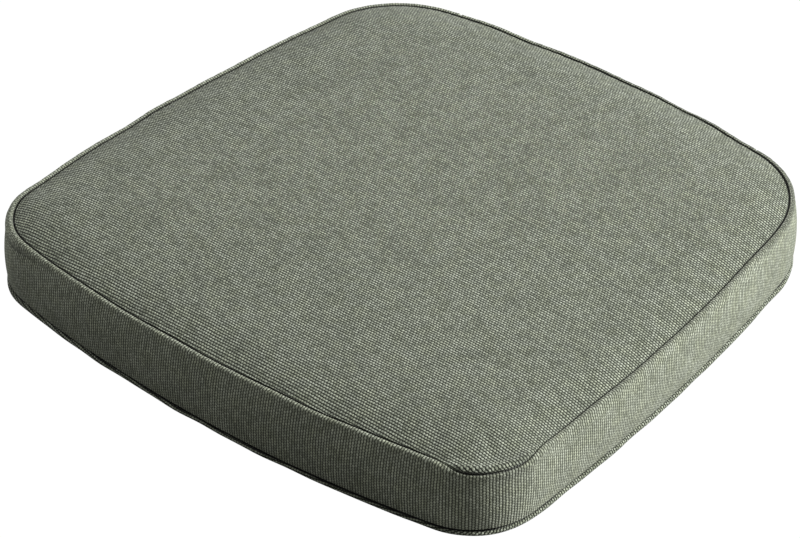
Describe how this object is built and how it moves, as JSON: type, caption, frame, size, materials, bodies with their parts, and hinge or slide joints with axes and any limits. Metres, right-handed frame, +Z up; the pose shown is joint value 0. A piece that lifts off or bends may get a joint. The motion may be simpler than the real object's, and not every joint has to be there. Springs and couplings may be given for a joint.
{
  "type": "chair seat pad",
  "caption": "Rounded boxed chair seat pad in heavy woven cloth, gently crowned, with a zipped removable cover over a foam and wadding filling.",
  "frame": {"origin": "middle of the flat underside of the pad", "axes": "+Z up, +X across the pad, front edge towards -Y and zipped back edge towards +Y"},
  "size_m": [0.4, 0.3903, 0.0565],
  "materials": {
    "cover_cloth": "heavy grey-green melange plain weave, matt with a soft wool-like nap",
    "zip_tape": "dull woven polyester tape",
    "zip_coil": "satin nylon coil",
    "zip_metal": "satin enamelled zinc alloy",
    "thread": "matt spun polyester thread",
    "liner_cloth": "plain undyed knitted lining",
    "wadding": "lofty white polyester wadding",
    "foam": "open-cell polyurethane foam",
    "label_tape": "blank woven satin tape"
  },
  "bodies": {
    "pad": {"top_panel": "cover_cloth", "bottom_panel": "cover_cloth", "boxing_band": "cover_cloth", "zip_strip_upper": "cover_cloth", "zip_strip_lower": "cover_cloth", "zip_tape_upper": "zip_tape", "zip_tape_lower": "zip_tape", "zip_coil_upper": "zip_coil", "zip_coil_lower": "zip_coil", "zip_top_stops": "zip_metal", "zip_bottom_stop": "zip_metal", "zip_stitch_upper": "thread", "zip_stitch_lower": "thread", "top_seam_thread": "thread", "bottom_seam_thread": "thread", "band_join_thread_left": "thread", "band_join_thread_right": "thread", "liner_top": "liner_cloth", "liner_base": "liner_cloth", "wadding_bottom": "wadding", "foam_core": "foam", "wadding_top": "wadding", "care_label": "label_tape"},
    "slider": {"zip_slider": "zip_metal"},
    "pull": {"zip_pull_tab": "zip_metal"}
  },
  "joints": [
    {"name": "zip_slider_travel", "type": "hinge", "parent": "pad", "child": "slider", "pos_m": [0, -0.735, 0.02375], "axis": [0, 0, 1], "range_deg": [0, 12.8]},
    {"name": "pull_tab_flip", "type": "hinge", "parent": "slider", "child": "pull", "pos_m": [0.1043, 0.19135, 0.02375], "axis": [0, 0, -1], "range_deg": [0, 180]}
  ]
}
